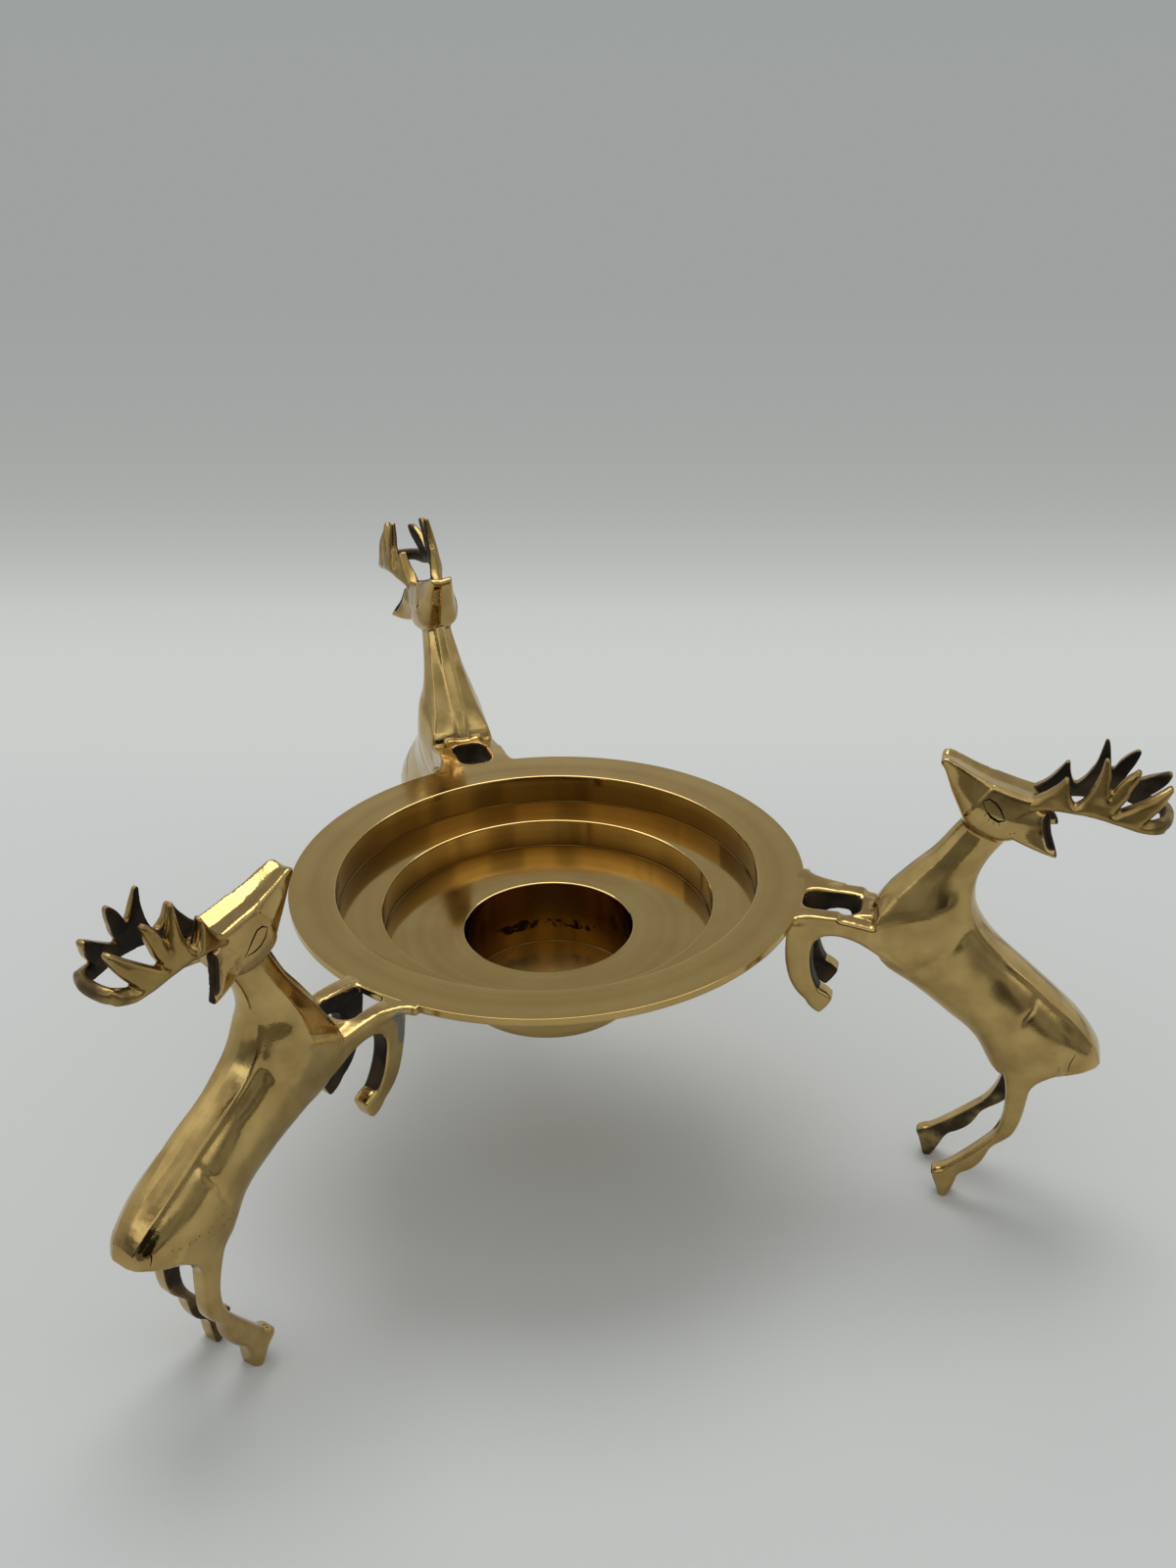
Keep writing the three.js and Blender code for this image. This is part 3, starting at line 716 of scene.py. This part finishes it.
marks = {
    1: {"cuts": [(0.42, [(39.3, 106.2), (40.6, 106.9), (42.0, 106.0), (43.2, 104.6), (44.3, 102.2)]),
                 (0.36, [(39.3, 106.2), (40.0, 104.3)]),
                 (0.60, [(40.0, 104.3), (41.3, 102.8), (42.9, 101.9), (44.3, 102.2)]),
                 (0.34, [(40.5, 103.9), (39.8, 102.9)]), (0.34, [(41.2, 103.0), (40.7, 101.8)]),
                 (0.34, [(42.0, 102.4), (41.8, 101.1)]), (0.34, [(43.1, 102.0), (43.2, 100.8)]),
                 (0.26, [(62.6, 38.9), (62.9, 41.6), (64.4, 44.6)]), (0.26, [(60.4, 39.6), (60.7, 40.9)])],
        "pits": [(46.0, 97.8), (46.5, 99.3), (45.6, 99.0)]},
    2: {"cuts": [(0.55, [(38.2, 106.4), (37.4, 105.2), (37.6, 104.2)]), (0.55, [(37.9, 103.4), (38.4, 102.3)])],
        "pits": []},
    3: {"cuts": [(0.40, [(39.2, 105.4), (40.5, 105.9), (41.8, 105.5), (43.3, 103.9), (45.5, 100.9)]),
                 (0.40, [(39.2, 105.4), (39.9, 103.6), (41.2, 102.2), (43.0, 101.4), (44.8, 101.1)]),
                 (0.30, [(67.0, 39.6), (66.7, 42.0), (67.6, 43.5)]), (0.30, [(67.9, 43.6), (69.4, 41.2)])],
        "pits": [(62.8, 42.3), (61.2, 42.2), (59.3, 42.6), (57.6, 42.9), (56.9, 43.5), (54.5, 43.3),
                 (53.8, 44.2), (50.6, 45.6), (50.2, 43.0), (48.7, 43.6)]},
    "depth": 0.5, "pit": 0.34, "endWidth": 0.35,
}


def strokeOutline(line, width):
    left, right = [], []
    for i, point in enumerate(line):
        before, after = Vector(line[max(0, i - 1)]), Vector(line[min(len(line) - 1, i + 1)])
        along = (after - before).normalized()
        across = Vector((-along.y, along.x)) * width / 2
        if i in (0, len(line) - 1):
            across *= marks["endWidth"]
        left.append(Vector(point) + across)
        right.append(Vector(point) - across)
    return left + right[::-1]


def pitOutline(point):
    corners = [k * math.pi / 3 for k in range(6)]
    return [Vector(point) + Vector((math.cos(a), math.sin(a))) * marks["pit"] / 2 for a in corners]


def cutMarks(bm, number, skin):
    body = meshObject("blank", bm)
    outlines = [strokeOutline(line, width) for width, line in marks[number]["cuts"]]
    outlines += [pitOutline(point) for point in marks[number]["pits"]]
    tools = []
    for outline in outlines:
        cutters = bmesh.new()
        middle = sum(outline, Vector((0, 0))) / len(outline)
        for side in (-1, 1):
            start = Vector((middle.x, side * 30, middle.y - knee))
            hit = skin.ray_cast(start, Vector((0, -side, 0)))[0]
            floor = hit.y - side * marks["depth"]
            block = slabFrom([Vector((p.x, floor, p.y - knee)) for p in outline], (0, side * 3, 0))
            addMesh(cutters, block)
            block.free()
        tools.append(meshObject("cutter", cutters))
        cut = body.modifiers.new("engrave", "BOOLEAN")
        cut.operation = "DIFFERENCE"
        cut.solver = "MANIFOLD"
        cut.object = tools[-1]
    engraved = applied(body)
    for tool in tools:
        bpy.data.objects.remove(tool)
    return engraved


# How much of the foundry's dark skin is left at each point, where polishing doesn't reach

def figureSkin(place, normal):
    x, y, z = place.x, place.y, place.z + knee
    side = 1 if y > 0 else -1
    inward = ease(-normal.y * side, 0.15, 0.55)
    share = 0.0
    if z < hindLeg["seat"] + 1.5:      # between the hind legs, worn through lower down, and under the rump
        share = max(share, inward * (0.5 + 0.5 * ease(z, 20, 30)))
        share = max(share, 0.6 * ease(-normal.z, 0.6, 0.9) * (1 - ease(abs(y), 4.0, 5.5)))
    if x < 19 and 47 < z < 74.2 and abs(y) < 6.4:  # between the forelegs
        share = max(share, inward)
    if 5 < x < 22 and 60 < z < 74.2 and abs(y) < 4.4:  # the slot's end at the chest
        share = max(share, ease(-normal.x, 0.1, 0.5))
    if 0.5 < x < 7 and 53 < z < 69:  # inside of the forelegs' curl, filed
        share = max(share, 0.75 * ease(normal.x, 0.45, 0.85))
    if x > 50 and 94 < z < 105 and abs(y) > 3:  # hollow and back of the ears
        cup = 1 - ease(lineDistance(x, z, ear["cup"])[0], 0.9, 1.7)
        share = max(share, ease(normal.x, 0.25, 0.7), cup)
    if z < 7.5:  # soles
        share = max(share, 0.7 * ease(-normal.x, 0.5, 0.85))
    return share


# On an antler it is left on the side towards the other one, above the beam, and round the loop
def antlerSkin(place, normal):
    x, z = place.x, place.z + knee
    inside = Vector((min(x, 74.0) - x, -place.y, 0))
    facing = normal.dot(inside.normalized()) if inside.length > 0.2 else 0
    above = 0.35 * ease(normal.z, 0.5, 0.95) * ease(x, 60, 66)
    loop = 0.42 * ease(x, 73.5, 76.5) * (1 - ease(z, 104.5, 106.5))
    return max(ease(facing, 0.1, 0.5), above, loop)


# Layers that the finish reads: skin left on, hollows that hold grime, the knees' tops filed level
# with the rim, and grey solder

solder = {"stag": 3, "line": [(1.6, 73.2), (-0.6, 70.4), (-1.4, 66.0)], "reach": 1.6, "side": 1}


def readSkin(bm, skinShare, number, stag):
    names = ("castSkin", "hollow", "level", "solder")
    skin, hollow, level, grey = [bm.verts.layers.float.new(name) for name in names]
    tilt = stagTilt(stag)
    bm.normal_update()
    for v in bm.verts:
        v[skin] = skinShare(v.co, v.normal)
        near = [e.other_vert(v).co for e in v.link_edges]
        spread = sum((p - v.co).length for p in near) / len(near)
        bend = (sum(near, Vector()) / len(near) - v.co).dot(v.normal) / max(spread, 1e-4)
        v[hollow] = max(-1, min(1, bend * 6))
        if v.co.x < 12 and v.co.z > -14:
            there = tilt @ v.co
            upward = ease((tilt.to_3x3() @ v.normal).z, 0.6, 0.95)
            v[level] = (1 - ease(there.x, 1, 9)) * upward * ease(there.z, -1.5, -0.4)
            if number == solder["stag"] and v.co.y * solder["side"] > foreleg["inner"] + 2:
                away = lineDistance(v.co.x, v.co.z + knee, solder["line"])[0]
                v[grey] = 1 - ease(away, solder["reach"] * 0.5, solder["reach"])
    for turn in range(4):
        means = [sum(e.other_vert(v)[hollow] for e in v.link_edges) / len(v.link_edges) for v in bm.verts]
        for v, mean in zip(bm.verts, means):
            v[hollow] = 0.4 * v[hollow] + 0.6 * mean


# Faces of the engraved cuts, which the finish paints dark: dirt in them and painted shade
def markGrooves(bm, skin):
    engravedDirtAndShade = bm.faces.layers.float.new("engravedDirtAndShade")
    for face in bm.faces:
        middle = face.calc_center_median()
        if abs(middle.y) > 2:
            face[engravedDirtAndShade] = 1.0 if skin.find_nearest(middle)[3] > 0.04 else 0.0


# Antlers: side view of one, its plan, and the loop that joins the pair behind

antler = {
    "inner": 0.0, "outer": 3.4, "roundInner": 0.4, "roundOuter": 1.35, "voxel": 0.28, "pairVoxel": 0.3,
    "start": (46.8, 104.4),
    "steps": [[(49.4, 103.9)], [(60, 107.4), (72, 102.6)], [(75, 101.6), (78, 101.8)],
              [(79.0, 103.4), (78.2, 105.2)], [(75.8, 104.2), (73.4, 104.6)], [(77.2, 107.2), (79.2, 111.6)],
              [(79.0, 112.4), (78.3, 112.4)], [(73, 109.4), (67.2, 106.6)], [(70.8, 111.0), (72.1, 115.9)],
              [(71.8, 116.6), (71.2, 116.5)], [(68.0, 114.6), (66.0, 110.2)], [(65.9, 114.6), (65.2, 118.3)],
              [(64.7, 118.9), (64.2, 118.6)], [(63.2, 110.6), (58.8, 107.2)], [(57.4, 108.8), (57.3, 112.7)],
              [(56.9, 113.2), (56.4, 113.0)], [(54.4, 109.4), (49.4, 106.7)], [(46.8, 107.0)]],
    "plan": [(46.8, 3.3), (49.4, 3.6), (51.7, 3.7), (58.0, 5.5), (67.0, 6.5), (74.0, 6.05), (78.4, 4.4)],
    "lean": 0.12, "leanFrom": 105.0, "thinning": 0.036,      # towards the points, per millimetre of rise
    "rootTaper": (46.8, 51.0),
    "loop": {"from": 76.4, "to": 78.5, "low": 103.4, "tall": 3.4, "thick": 3.0},
    "waveLength": 3.0, "wave": 0.16,
    # Where a deeper beam starts and ends along the antler, and its height
    "deepFrom": (50, 54), "deepTo": (62, 68), "deepTop": (104.6, 106.4),
}


def antlerPair():
    plan = smoothThrough(antler["plan"], 6)

    def planY(x):
        for (ax, ay), (bx, by) in zip(plan, plan[1:]):
            if x <= bx:
                return ay + (by - ay) * max(0, x - ax) / (bx - ax)
        return plan[-1][1]

    side = limb(antler)
    for v in side.verts:
        rise = max(0, v.co.z + knee - antler["leanFrom"])
        share = (1 - rise * antler["thinning"]) * (0.5 + 0.5 * ease(v.co.x, *antler["rootTaper"]))
        v.co.y = planY(v.co.x) + (v.co.y - antler["outer"] / 2) * share - rise * antler["lean"]
    loop = antler["loop"]
    start, end, low = loop["from"], loop["to"], loop["low"] - knee
    rear = antler["plan"][-1][1]
    path = [(start - 2.0, rear * 1.36), (start, rear * 1.14), (start + (end - start) * 0.75, rear * 0.74)]
    path += [(end, 0.0)] + [(x, -y) for x, y in path[::-1]]
    path = smoothThrough(path, 5)
    rings = []
    for i, (x, y) in enumerate(path):
        before, after = Vector(path[max(0, i - 1)]), Vector(path[min(len(path) - 1, i + 1)])
        across = (after - before).normalized()
        across = Vector((across.y, -across.x, 0))
        ring = []
        for k in range(12):
            c, s = math.cos(k * math.pi / 6), math.sin(k * math.pi / 6)
            wide, tall = across * c * loop["thick"] / 2, Vector((0, 0, 1)) * s * loop["tall"] / 2
            ring.append(Vector((x, y, low)) + wide + tall)
        rings.append(ring)
    bm = bmesh.new()
    loft(bm, rings)
    addMesh(bm, side)
    addMesh(bm, side, mirror=True)
    bm = fused(bm, antler["pairVoxel"])
    smoothOver(bm, bm.verts, 3)
    for v in bm.verts:
        near = v.co / antler["waveLength"]
        v.co += Vector((noise.noise(near), noise.noise(near + Vector((9, 0, 0))), 0)) * antler["wave"]
    return bm


def deepened(pair, amount):
    horns = pair.copy()
    for v in horns.verts:
        if v.co.y > 0.5:
            low = 1 - ease(v.co.z + knee, *antler["deepTop"])
            v.co.z -= amount * low * ease(v.co.x, *antler["deepFrom"]) * (1 - ease(v.co.x, *antler["deepTo"]))
    return horns


# Polished cast brass: bright yellow metal, hand buffed and so a little wavy, satin where
# the mop passed lightly, brown in the hollows, with the foundry's dark skin left inside

castFinish = {
    "bright": "#C4A86B", "dull": "#A98C57", "hollow": "#6F5427", "solder": "#8B8A80",
    "skin": [(0.42, "#1D150D"), (0.66, "#4A3920"), (0.76, "#343C2C")],      # dark, brown and a little green
    "roughness": 0.075, "satin": 0.24, "levelRoughness": 0.15, "skinRoughness": 0.55, "skinMetallic": 0.55,
    "satinEdge": (0.47, 0.62), "dullEdge": (0.35, 0.7), "hollowEdge": (0.12, 0.5), "hollowShare": 0.85,
    "ragged": 0.7, "skinEdge": (0.62, 0.92),
    "patch": 20.0, "blotch": 7.0, "grain": 0.5, "bump": 0.04,       # sizes in millimetres
    "bumpStrength": 0.35, "skinGrain": 12.0,
}
# The antlers were only brushed, so they are browner and more satin
antlerFinish = {**castFinish, "bright": "#A98E56", "dull": "#8F7443", "roughness": 0.18, "satin": 0.32}


def perMetre(millimetres):
    return 1000 / millimetres


# The bright metal with its other tones laid over it, each by its share, and its relief
def setSurface(tree, shader, finish, tones, metallic, rough, height):
    colour = linear(finish["bright"])
    for share, tone in tones:
        over = linear(finish[tone]) if isinstance(tone, str) else tone
        colour = addNode(tree, "Mix", {"Factor": share, "A": colour, "B": over}, data_type="RGBA")
    bump = addNode(tree, "Bump", {"Strength": finish["bumpStrength"], "Distance": finish["bump"] / 1000,
                                  "Height": height})
    setInputs(tree, shader, {"Base Color": colour, "Metallic": metallic, "Roughness": rough, "Normal": bump})


def castBrass(name, finish):
    material, tree, shader = newMaterial(name)
    place = addNode(tree, "TexCoord").outputs["Object"]
    patch, blotch, grain = [
        addNode(tree, "TexNoise", {"Vector": place, "Scale": perMetre(finish[size]), "Detail": detail})
        for size, detail in (("patch", 2.0), ("blotch", 4.0), ("grain", 2.0))]
    skin, hollow, engravedDirtAndShade, level, grey = [addNode(tree, "Attribute", attribute_name=layer).outputs["Fac"]
                                         for layer in ("castSkin", "hollow", "engravedDirtAndShade", "level", "solder")]

    # The skin's edge is ragged, and the engraved lines are dark all through, with dirt and painted shade
    ragged = addNode(tree, "Math", [blotch, finish["ragged"], skin], operation="MULTIPLY_ADD")
    edge = addNode(tree, "MapRange", [ragged, *finish["skinEdge"]], **eased)
    raw = addNode(tree, "Math", [edge, engravedDirtAndShade], operation="MAXIMUM")
    skinTone = addNode(tree, "ValToRGB", [blotch])
    fillRamp(skinTone.color_ramp, [(at, linear(tone)) for at, tone in finish["skin"]])
    dulled = addNode(tree, "MapRange", [blotch, *finish["dullEdge"]])
    grime = addNode(tree, "MapRange", [hollow, *finish["hollowEdge"], 0.0, finish["hollowShare"]], **eased)
    tones = [(dulled, "dull"), (grime, "hollow"), (grey, "solder"), (raw, skinTone)]

    satin = addNode(tree, "MapRange", [patch, *finish["satinEdge"]], **eased)
    sheen = addNode(tree, "MapRange", [satin, 0.0, 1.0, finish["roughness"], finish["satin"]])
    filed = addNode(tree, "Mix", {"Factor": level, "A": sheen, "B": finish["levelRoughness"]})
    matte = addNode(tree, "Math", [raw, grey], operation="MAXIMUM")
    rough = addNode(tree, "Mix", {"Factor": matte, "A": filed, "B": finish["skinRoughness"]})
    metallic = addNode(tree, "MapRange", [raw, 0.0, 1.0, 1.0, finish["skinMetallic"]])

    # Fine grain everywhere, coarser on the skin
    coarse = addNode(tree, "Math", [blotch, raw], operation="MULTIPLY")
    height = addNode(tree, "Math", [coarse, finish["skinGrain"], grain], operation="MULTIPLY_ADD")
    setSurface(tree, shader, finish, tones, metallic, rough, height)
    return material


# Turned brass: rings from the lathe tool drawn out round the axis, the rim a little more satin
# than the steps, the well's floor dull, a line of painted shade in each corner, and burnt wax marks in the well

turnedFinish = {
    "bright": "#C9AC6D", "dull": "#B49559", "dullEdge": (0.55, 1.1), "banding": 0.6,
    # The colour of the shade painted into each floor's corner, and the line's strength by its distance from a
    # wall
    "corner": "#6A4D20", "cornerShadeLine": [(0.9, 0.0), (0.35, 1.0), (0.12, 1.0), (0.05, 0.0)],
    "wellRoughness": 0.24, "wellEdge": (19.2, 19.8), "floorRoughness": 0.075,
    "rimRoughness": 0.1, "rimEdge": (49.4, 49.9), "dullRoughness": 0.06, "stainRoughness": 0.4,
    # Sizes in millimetres. The tool's rings are drawn coarser than real ones, so that they show
    "ring": 1.6, "band": 4.0, "patch": 16.0, "bump": 0.006, "bumpStrength": 0.15,
    # The burnt marks: size, detail and roughness of their blotches and patches, then the stretches below
    # the rim and behind the middle in which they come in or go out, and the radius they stay inside
    "stain": "#2E1D0C", "stainNoise": [(2.2, 6.0, 0.7), (7.0, 1.0, 0.5)],
    "stainPlace": [("Z", (-29.0, -26.2)), ("Y", (10.0, 15.0)), ("Z", (-24.8, -22.2), 1.0, 0.0)],
    "stainInside": 20.2, "stainSpread": (0.3, 0.6, 0.75, 1.1), "stainEdge": (0.44, 0.54),
}


def turnedBrass(finish):
    material, tree, shader = newMaterial("turned brass")
    place = addNode(tree, "TexCoord").outputs["Object"]
    turn = dishPlace.to_3x3().normalized().to_euler()
    centred = addNode(tree, "Mapping", [place, dishPlace.translation, turn], vector_type="TEXTURE")
    axes = addNode(tree, "SeparateXYZ", [centred]).outputs
    flat = addNode(tree, "CombineXYZ", [axes["X"], axes["Y"]])
    radius = addNode(tree, "VectorMath", [flat], operation="LENGTH")
    ring, band = [addNode(tree, "TexNoise", {"W": radius, "Scale": perMetre(finish[size]), "Detail": 2.0},
                          noise_dimensions="1D") for size in ("ring", "band")]
    patch = addNode(tree, "TexNoise", {"Vector": place, "Scale": perMetre(finish["patch"]), "Detail": 5.0})
    shares = addNode(tree, "Math", [band, finish["banding"], patch], operation="MULTIPLY_ADD")
    dulled = addNode(tree, "MapRange", [shares, *finish["dullEdge"]])

    # Painted shade: a brown line just inside each wall, drawn by radius over the floors
    outside, walls = holder["rimRadius"], [radius for radius, z in dish["inside"][2::2]]
    line = addNode(tree, "ValToRGB", [addNode(tree, "MapRange", [radius, 0.0, outside / 1000])])
    stops = [((wall - inset) / outside, share) for wall in walls for inset, share in finish["cornerShadeLine"]]
    fillRamp(line.color_ramp, [(at, (share, share, share, 1)) for at, share in [(0, 0), *stops, (1, 0)]])

    # Smudges low on the well's far wall
    strength, patches = [
        addNode(tree, "TexNoise", {"Vector": place, "Scale": perMetre(size), "Detail": detail,
                                   "Roughness": soft}) for size, detail, soft in finish["stainNoise"]]
    masks = [addNode(tree, "MapRange", [axes[axis], *[edge / 1000 for edge in edges], *ends], **eased)
             for axis, edges, *ends in finish["stainPlace"]]
    inWell = addNode(tree, "Math", [radius, finish["stainInside"] / 1000], operation="LESS_THAN")
    spread = addNode(tree, "MapRange", [patches, *finish["stainSpread"]])
    for mask in masks + [inWell, spread]:
        strength = addNode(tree, "Math", [strength, mask], operation="MULTIPLY")
    burnt = addNode(tree, "MapRange", [strength, *finish["stainEdge"]], **eased)

    rimEdge, wellEdge = [[edge / 1000 for edge in finish[name]] for name in ("rimEdge", "wellEdge")]
    outer = addNode(tree, "MapRange", [radius, *rimEdge, finish["floorRoughness"], finish["rimRoughness"]],
                    **eased)
    inner = addNode(tree, "MapRange", [radius, *wellEdge, finish["wellRoughness"], outer])
    worn = addNode(tree, "Math", [dulled, finish["dullRoughness"], inner], operation="MULTIPLY_ADD")
    rough = addNode(tree, "Math", [burnt, finish["stainRoughness"], worn], operation="MULTIPLY_ADD")
    # Tones laid over the metal: random dull patches, the corners' painted shade and the burnt stain
    tones = [(dulled, "dull"), (line, "corner"), (burnt, "stain")]
    setSurface(tree, shader, finish, tones, 1.0, rough, ring)
    return material


def standPiece(name, bm, stag, material, nodes):
    bmesh.ops.transform(bm, matrix=stagPlace(stag), verts=bm.verts)
    cutOff(bm, (0, 0, ground), (0, 0, -1))
    for face in bm.faces:
        face.smooth = True
    piece = meshObject(name, bm)
    piece.data.set_sharp_from_angle(angle=math.radians(casting["sharpFrom"]))
    piece.data.materials.append(material)
    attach(piece, "root")
    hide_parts(*nodes)
    print(name, len(piece.data.polygons), "faces")


makeCamera()
makeStage()
makeLights()
makeRoom()
print("stage and camera set")
makeDish().data.materials.append(turnedBrass(turnedFinish))
print("dish turned")

polished = castBrass("polished cast brass", castFinish)
brushed = castBrass("polished cast brass of the antlers", antlerFinish)
limbs = makeLimbs()
pair = antlerPair()
readSkin(pair, antlerSkin, 0, holder["stags"][0])
pair.faces.layers.float.new("engravedDirtAndShade")
print("limbs and antlers shaped")
parts = ("body", "foreleg_left", "foreleg_right", "hind_leg_left", "hind_leg_right")
for number, stag in enumerate(holder["stags"], 1):
    blank = figureShape(stag, limbs)
    skin = BVHTree.FromBMesh(blank)
    figure = cutMarks(blank, number, skin)
    readSkin(figure, figureSkin, number, stag)
    markGrooves(figure, skin)
    standPiece(f"stag_{number}_figure", figure, stag, polished,
               [f"stag_{number}_{part}" for part in parts])
    standPiece(f"stag_{number}_antler_pair", deepened(pair, stag["deepAntler"]), stag, brushed,
               [f"stag_{number}_antlers"])
